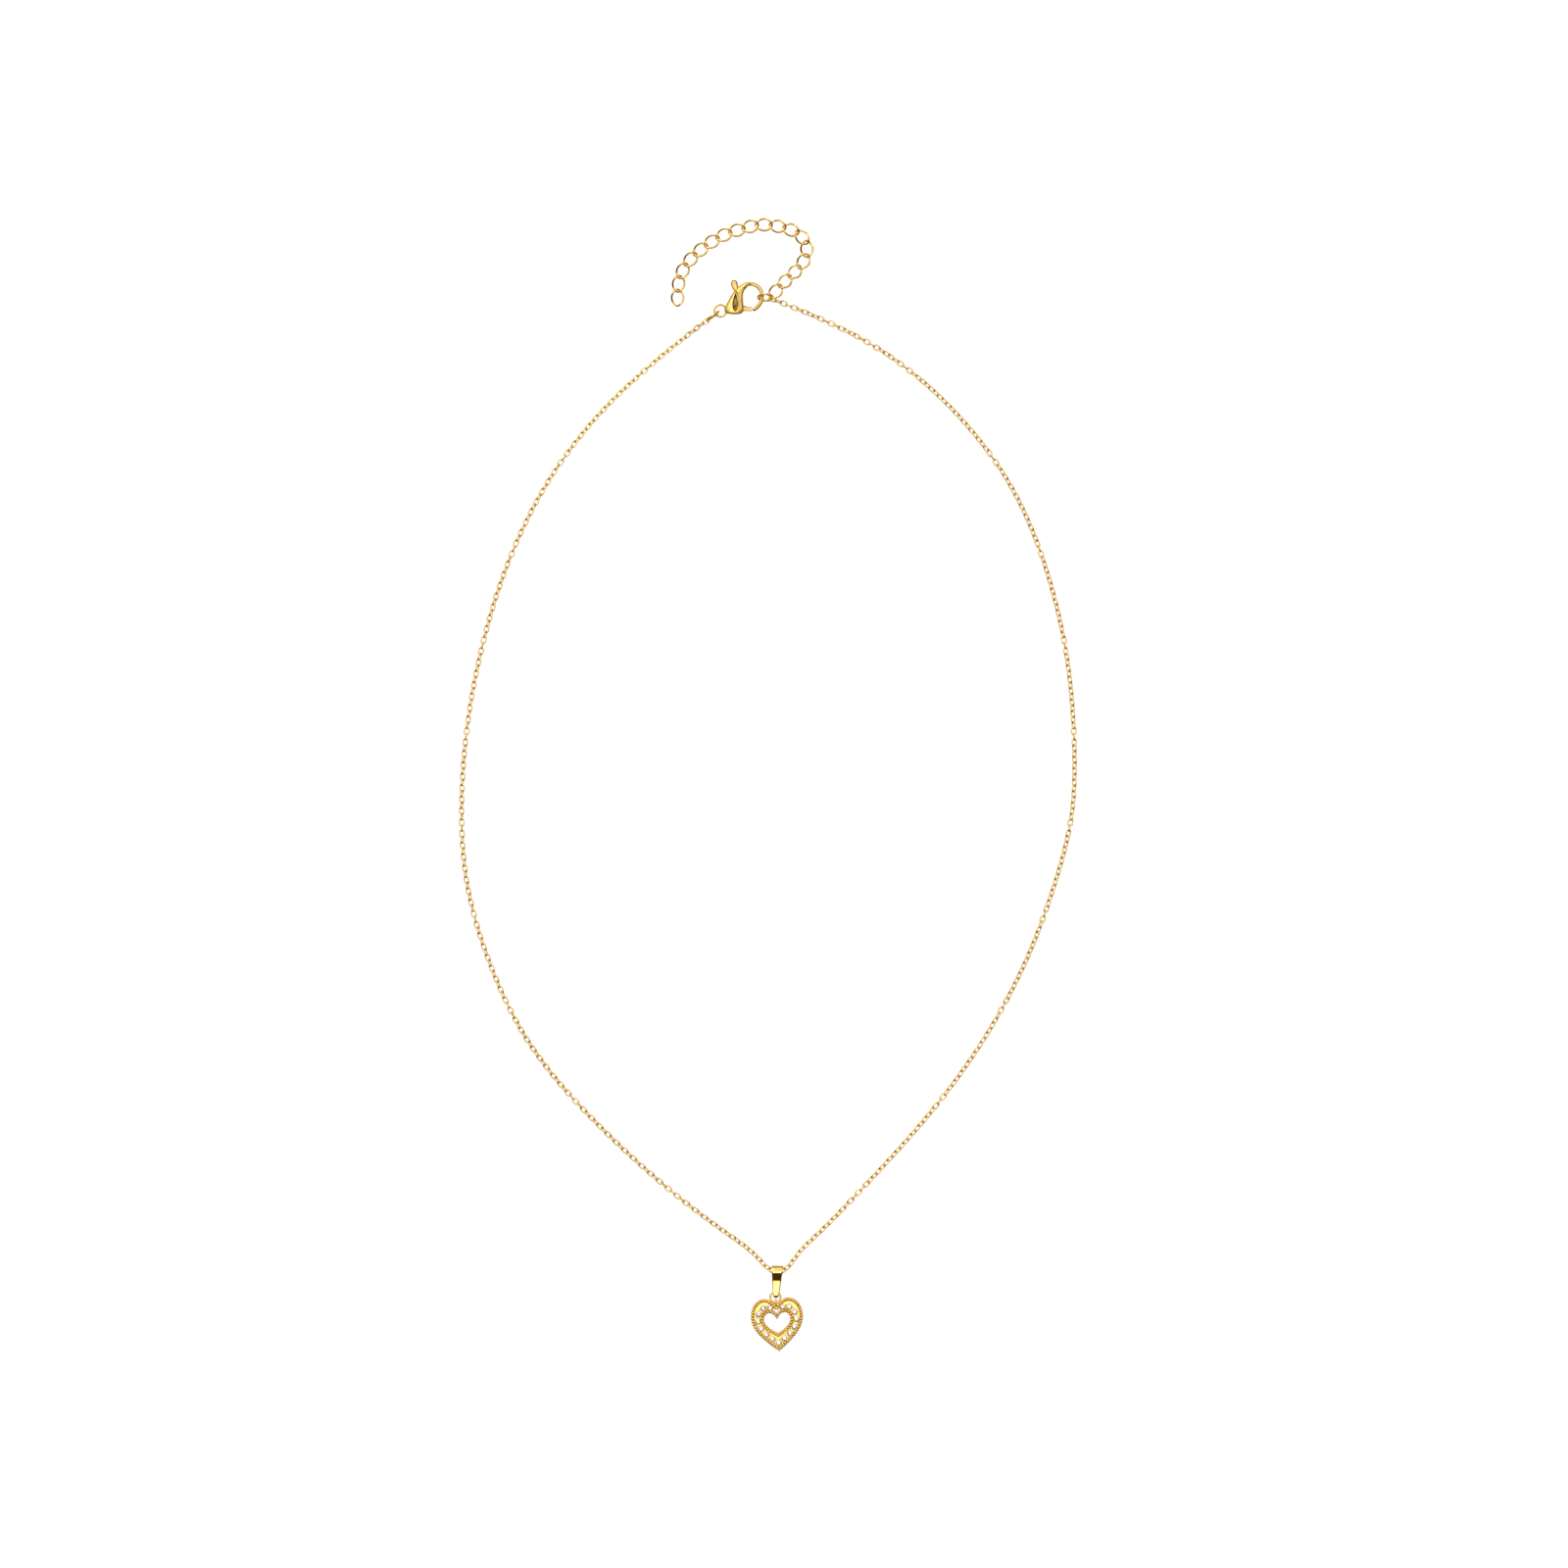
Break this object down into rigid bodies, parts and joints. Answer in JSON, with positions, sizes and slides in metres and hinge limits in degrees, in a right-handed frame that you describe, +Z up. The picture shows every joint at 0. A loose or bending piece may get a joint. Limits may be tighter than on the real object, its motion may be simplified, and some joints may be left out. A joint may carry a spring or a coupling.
{
  "type": "pendant necklace",
  "caption": "Fine cable-chain necklace with an open heart pendant set with small stones, a lobster clasp and an extender chain, laid flat.",
  "frame": {"origin": "middle of the whole necklace in plan, at the level of the table that it lies on", "axes": "+Z up from the table, +Y from the heart to the clasp, +X to the right as seen from above"},
  "size_m": [0.1186, 0.2171, 0.0033],
  "materials": {
    "gold_chain": "polished",
    "gold_extender": "polished",
    "gold_clasp": "polished",
    "gold_setting": "polished",
    "gold_lever": "polished",
    "spring_steel": "satin",
    "stone_clear": "gloss"
  },
  "bodies": {
    "chain_left_10": {"chain_left_10": "gold_chain"},
    "chain_left_09": {"chain_left_09": "gold_chain"},
    "chain_left_08": {"chain_left_08": "gold_chain"},
    "chain_left_07": {"chain_left_07": "gold_chain"},
    "chain_left_06": {"chain_left_06": "gold_chain"},
    "chain_left_05": {"chain_left_05": "gold_chain"},
    "chain_left_04": {"chain_left_04": "gold_chain"},
    "chain_left_03": {"chain_left_03": "gold_chain"},
    "chain_left_02": {"chain_left_02": "gold_chain"},
    "chain_left_01": {"chain_left_01": "gold_chain"},
    "chain_centre": {"chain_centre": "gold_chain"},
    "chain_right_01": {"chain_right_01": "gold_chain"},
    "chain_right_02": {"chain_right_02": "gold_chain"},
    "chain_right_03": {"chain_right_03": "gold_chain"},
    "chain_right_04": {"chain_right_04": "gold_chain"},
    "chain_right_05": {"chain_right_05": "gold_chain"},
    "chain_right_06": {"chain_right_06": "gold_chain"},
    "chain_right_07": {"chain_right_07": "gold_chain"},
    "chain_right_08": {"chain_right_08": "gold_chain"},
    "chain_right_09": {"chain_right_09": "gold_chain"},
    "chain_right_10": {"chain_right_10": "gold_chain"},
    "ring_right": {"ring_right": "gold_clasp"},
    "ring_left": {"ring_left": "gold_clasp"},
    "ring_pendant": {"ring_pendant": "gold_clasp"},
    "clasp": {"clasp_body": "gold_clasp", "clasp_rivet": "gold_clasp", "clasp_spring": "spring_steel"},
    "clasp_lever": {"clasp_lever": "gold_lever"},
    "extender_link_01": {"extender_link_01": "gold_extender"},
    "extender_link_02": {"extender_link_02": "gold_extender"},
    "extender_link_03": {"extender_link_03": "gold_extender"},
    "extender_link_04": {"extender_link_04": "gold_extender"},
    "extender_link_05": {"extender_link_05": "gold_extender"},
    "extender_link_06": {"extender_link_06": "gold_extender"},
    "extender_link_07": {"extender_link_07": "gold_extender"},
    "extender_link_08": {"extender_link_08": "gold_extender"},
    "extender_link_09": {"extender_link_09": "gold_extender"},
    "extender_link_10": {"extender_link_10": "gold_extender"},
    "extender_link_11": {"extender_link_11": "gold_extender"},
    "extender_link_12": {"extender_link_12": "gold_extender"},
    "extender_link_13": {"extender_link_13": "gold_extender"},
    "extender_link_14": {"extender_link_14": "gold_extender"},
    "extender_link_15": {"extender_link_15": "gold_extender"},
    "extender_link_16": {"extender_link_16": "gold_extender"},
    "extender_link_17": {"extender_link_17": "gold_extender"},
    "extender_link_18": {"extender_link_18": "gold_extender"},
    "bail": {"bail": "gold_setting"},
    "heart": {"heart_frame": "gold_setting", "heart_stones": "stone_clear"}
  },
  "joints": [
    {"name": "fold_right_01", "type": "hinge", "parent": "chain_centre", "child": "chain_right_01", "pos_m": [0, -0.078, 0.00057], "axis": [1, 0, 0], "range_deg": [0, 20]},
    {"name": "fold_left_01", "type": "hinge", "parent": "chain_centre", "child": "chain_left_01", "pos_m": [0, -0.078, 0.00057], "axis": [1, 0, 0], "range_deg": [0, 20]},
    {"name": "fold_right_02", "type": "hinge", "parent": "chain_right_01", "child": "chain_right_02", "pos_m": [0, -0.0605, 0.00057], "axis": [1, 0, 0], "range_deg": [0, 20]},
    {"name": "fold_left_02", "type": "hinge", "parent": "chain_left_01", "child": "chain_left_02", "pos_m": [0, -0.0605, 0.00057], "axis": [1, 0, 0], "range_deg": [0, 20]},
    {"name": "fold_right_03", "type": "hinge", "parent": "chain_right_02", "child": "chain_right_03", "pos_m": [0, -0.043, 0.00057], "axis": [1, 0, 0], "range_deg": [0, 20]},
    {"name": "fold_left_03", "type": "hinge", "parent": "chain_left_02", "child": "chain_left_03", "pos_m": [0, -0.043, 0.00057], "axis": [1, 0, 0], "range_deg": [0, 20]},
    {"name": "fold_right_04", "type": "hinge", "parent": "chain_right_03", "child": "chain_right_04", "pos_m": [0, -0.0255, 0.00057], "axis": [1, 0, 0], "range_deg": [0, 20]},
    {"name": "fold_left_04", "type": "hinge", "parent": "chain_left_03", "child": "chain_left_04", "pos_m": [0, -0.0255, 0.00057], "axis": [1, 0, 0], "range_deg": [0, 20]},
    {"name": "fold_right_05", "type": "hinge", "parent": "chain_right_04", "child": "chain_right_05", "pos_m": [0, -0.008, 0.00057], "axis": [1, 0, 0], "range_deg": [0, 20]},
    {"name": "fold_left_05", "type": "hinge", "parent": "chain_left_04", "child": "chain_left_05", "pos_m": [0, -0.008, 0.00057], "axis": [1, 0, 0], "range_deg": [0, 20]},
    {"name": "fold_right_06", "type": "hinge", "parent": "chain_right_05", "child": "chain_right_06", "pos_m": [0, 0.0095, 0.00057], "axis": [1, 0, 0], "range_deg": [0, 20]},
    {"name": "fold_left_06", "type": "hinge", "parent": "chain_left_05", "child": "chain_left_06", "pos_m": [0, 0.0095, 0.00057], "axis": [1, 0, 0], "range_deg": [0, 20]},
    {"name": "fold_right_07", "type": "hinge", "parent": "chain_right_06", "child": "chain_right_07", "pos_m": [0, 0.027, 0.00057], "axis": [1, 0, 0], "range_deg": [0, 20]},
    {"name": "fold_left_07", "type": "hinge", "parent": "chain_left_06", "child": "chain_left_07", "pos_m": [0, 0.027, 0.00057], "axis": [1, 0, 0], "range_deg": [0, 20]},
    {"name": "fold_right_08", "type": "hinge", "parent": "chain_right_07", "child": "chain_right_08", "pos_m": [0, 0.0445, 0.00057], "axis": [1, 0, 0], "range_deg": [0, 20]},
    {"name": "fold_left_08", "type": "hinge", "parent": "chain_left_07", "child": "chain_left_08", "pos_m": [0, 0.0445, 0.00057], "axis": [1, 0, 0], "range_deg": [0, 20]},
    {"name": "fold_right_09", "type": "hinge", "parent": "chain_right_08", "child": "chain_right_09", "pos_m": [0, 0.062, 0.00057], "axis": [1, 0, 0], "range_deg": [0, 20]},
    {"name": "fold_left_09", "type": "hinge", "parent": "chain_left_08", "child": "chain_left_09", "pos_m": [0, 0.062, 0.00057], "axis": [1, 0, 0], "range_deg": [0, 20]},
    {"name": "fold_right_10", "type": "hinge", "parent": "chain_right_09", "child": "chain_right_10", "pos_m": [0, 0.0795, 0.00057], "axis": [1, 0, 0], "range_deg": [0, 20]},
    {"name": "fold_left_10", "type": "hinge", "parent": "chain_left_09", "child": "chain_left_10", "pos_m": [0, 0.0795, 0.00057], "axis": [1, 0, 0], "range_deg": [0, 20]},
    {"name": "ring_right_roll", "type": "hinge", "parent": "chain_right_10", "child": "ring_right", "pos_m": [-0.00045, 0.0931, 0.00156], "axis": [1, 0, 0], "range_deg": [-3, 3]},
    {"name": "ring_left_roll", "type": "hinge", "parent": "chain_left_10", "child": "ring_left", "pos_m": [-0.01056, 0.0895, 0.0013], "axis": [-0.7986, -0.6018, 0], "range_deg": [-8, 8]},
    {"name": "clasp_roll", "type": "hinge", "parent": "chain_left_10", "child": "clasp", "pos_m": [-0.0011, 0.0933, 0.00125], "axis": [0.9367, 0.3498, 0.0169], "range_deg": [-5, 3]},
    {"name": "lever_turn", "type": "hinge", "parent": "clasp", "child": "clasp_lever", "pos_m": [-0.00535, 0.09105, 0.00103], "axis": [0, 0, 1], "range_deg": [0, 25], "stiffness_Nm_per_rad": 0.004, "springref_deg": -5.73},
    {"name": "extender_01_bend", "type": "hinge", "parent": "chain_right_10", "child": "extender_link_01", "pos_m": [0.00065, 0.09313, 0.00214], "axis": [0, 0, 1], "range_deg": [-15, 1]},
    {"name": "extender_02_bend", "type": "hinge", "parent": "extender_link_01", "child": "extender_link_02", "pos_m": [0.00238, 0.09517, 0.00193], "axis": [0, 0, 1], "range_deg": [-4, 4.4]},
    {"name": "extender_03_bend", "type": "hinge", "parent": "extender_link_02", "child": "extender_link_03", "pos_m": [0.00424, 0.09706, 0.00138], "axis": [0, 0, 1], "range_deg": [-4, 1.7]},
    {"name": "extender_04_bend", "type": "hinge", "parent": "extender_link_03", "child": "extender_link_04", "pos_m": [0.00616, 0.09891, 0.00084], "axis": [0, 0, 1], "range_deg": [-19.2, 0.2]},
    {"name": "extender_05_bend", "type": "hinge", "parent": "extender_link_04", "child": "extender_link_05", "pos_m": [0.00752, 0.10119, 0.00068], "axis": [0, 0, 1], "range_deg": [-36.3, 0.2]},
    {"name": "extender_06_bend", "type": "hinge", "parent": "extender_link_05", "child": "extender_link_06", "pos_m": [0.00745, 0.10378, 0.00068], "axis": [0, 0, 1], "range_deg": [-45.5, 0.2]},
    {"name": "extender_07_bend", "type": "hinge", "parent": "extender_link_06", "child": "extender_link_07", "pos_m": [0.00567, 0.10569, 0.00068], "axis": [0, 0, 1], "range_deg": [-31.2, 0.2]},
    {"name": "extender_08_bend", "type": "hinge", "parent": "extender_link_07", "child": "extender_link_08", "pos_m": [0.00317, 0.10659, 0.00068], "axis": [0, 0, 1], "range_deg": [-13, 0.2]},
    {"name": "extender_09_bend", "type": "hinge", "parent": "extender_link_08", "child": "extender_link_09", "pos_m": [0.00055, 0.10709, 0.00068], "axis": [0, 0, 1], "range_deg": [-13.7, 0.2]},
    {"name": "extender_10_bend", "type": "hinge", "parent": "extender_link_09", "child": "extender_link_10", "pos_m": [-0.0021, 0.10714, 0.00068], "axis": [0, 0, 1], "range_deg": [-21, 0.2]},
    {"name": "extender_11_bend", "type": "hinge", "parent": "extender_link_10", "child": "extender_link_11", "pos_m": [-0.00466, 0.10641, 0.00068], "axis": [0, 0, 1], "range_deg": [-4, 0.3]},
    {"name": "extender_12_bend", "type": "hinge", "parent": "extender_link_11", "child": "extender_link_12", "pos_m": [-0.00722, 0.10568, 0.00068], "axis": [0, 0, 1], "range_deg": [-12.9, 0.2]},
    {"name": "extender_13_bend", "type": "hinge", "parent": "extender_link_12", "child": "extender_link_13", "pos_m": [-0.00964, 0.10457, 0.00068], "axis": [0, 0, 1], "range_deg": [-12.6, 0.2]},
    {"name": "extender_14_bend", "type": "hinge", "parent": "extender_link_13", "child": "extender_link_14", "pos_m": [-0.01187, 0.10311, 0.00068], "axis": [0, 0, 1], "range_deg": [-9.3, 0.2]},
    {"name": "extender_15_bend", "type": "hinge", "parent": "extender_link_14", "child": "extender_link_15", "pos_m": [-0.01394, 0.10145, 0.00068], "axis": [0, 0, 1], "range_deg": [-14, 0.2]},
    {"name": "extender_16_bend", "type": "hinge", "parent": "extender_link_15", "child": "extender_link_16", "pos_m": [-0.0157, 0.09945, 0.00068], "axis": [0, 0, 1], "range_deg": [-18, 0.2]},
    {"name": "extender_17_bend", "type": "hinge", "parent": "extender_link_16", "child": "extender_link_17", "pos_m": [-0.01692, 0.0971, 0.00068], "axis": [0, 0, 1], "range_deg": [-23.5, 0.2]},
    {"name": "extender_18_bend", "type": "hinge", "parent": "extender_link_17", "child": "extender_link_18", "pos_m": [-0.01728, 0.09446, 0.00068], "axis": [0, 0, 1], "range_deg": [-11.4, 0.2]},
    {"name": "bail_lift", "type": "hinge", "parent": "chain_centre", "child": "bail", "pos_m": [0.00184, -0.09356, 0.00116], "axis": [-1, 0, 0], "range_deg": [0, 100]},
    {"name": "ring_pendant_lift", "type": "hinge", "parent": "bail", "child": "ring_pendant", "pos_m": [0.00145, -0.09749, 0.00068], "axis": [-1, 0, 0], "range_deg": [0, 35]},
    {"name": "heart_swing", "type": "hinge", "parent": "ring_pendant", "child": "heart", "pos_m": [0.00145, -0.09849, 0.00068], "axis": [0, 0, 1], "range_deg": [-10, 10]}
  ],
  "couplings": [
    {"joint": "fold_left_01", "follows": "fold_right_01", "ratio": 1},
    {"joint": "fold_left_02", "follows": "fold_right_02", "ratio": 1},
    {"joint": "fold_left_03", "follows": "fold_right_03", "ratio": 1},
    {"joint": "fold_left_04", "follows": "fold_right_04", "ratio": 1},
    {"joint": "fold_left_05", "follows": "fold_right_05", "ratio": 1},
    {"joint": "fold_left_06", "follows": "fold_right_06", "ratio": 1},
    {"joint": "fold_left_07", "follows": "fold_right_07", "ratio": 1},
    {"joint": "fold_left_08", "follows": "fold_right_08", "ratio": 1},
    {"joint": "fold_left_09", "follows": "fold_right_09", "ratio": 1},
    {"joint": "fold_left_10", "follows": "fold_right_10", "ratio": 1}
  ]
}
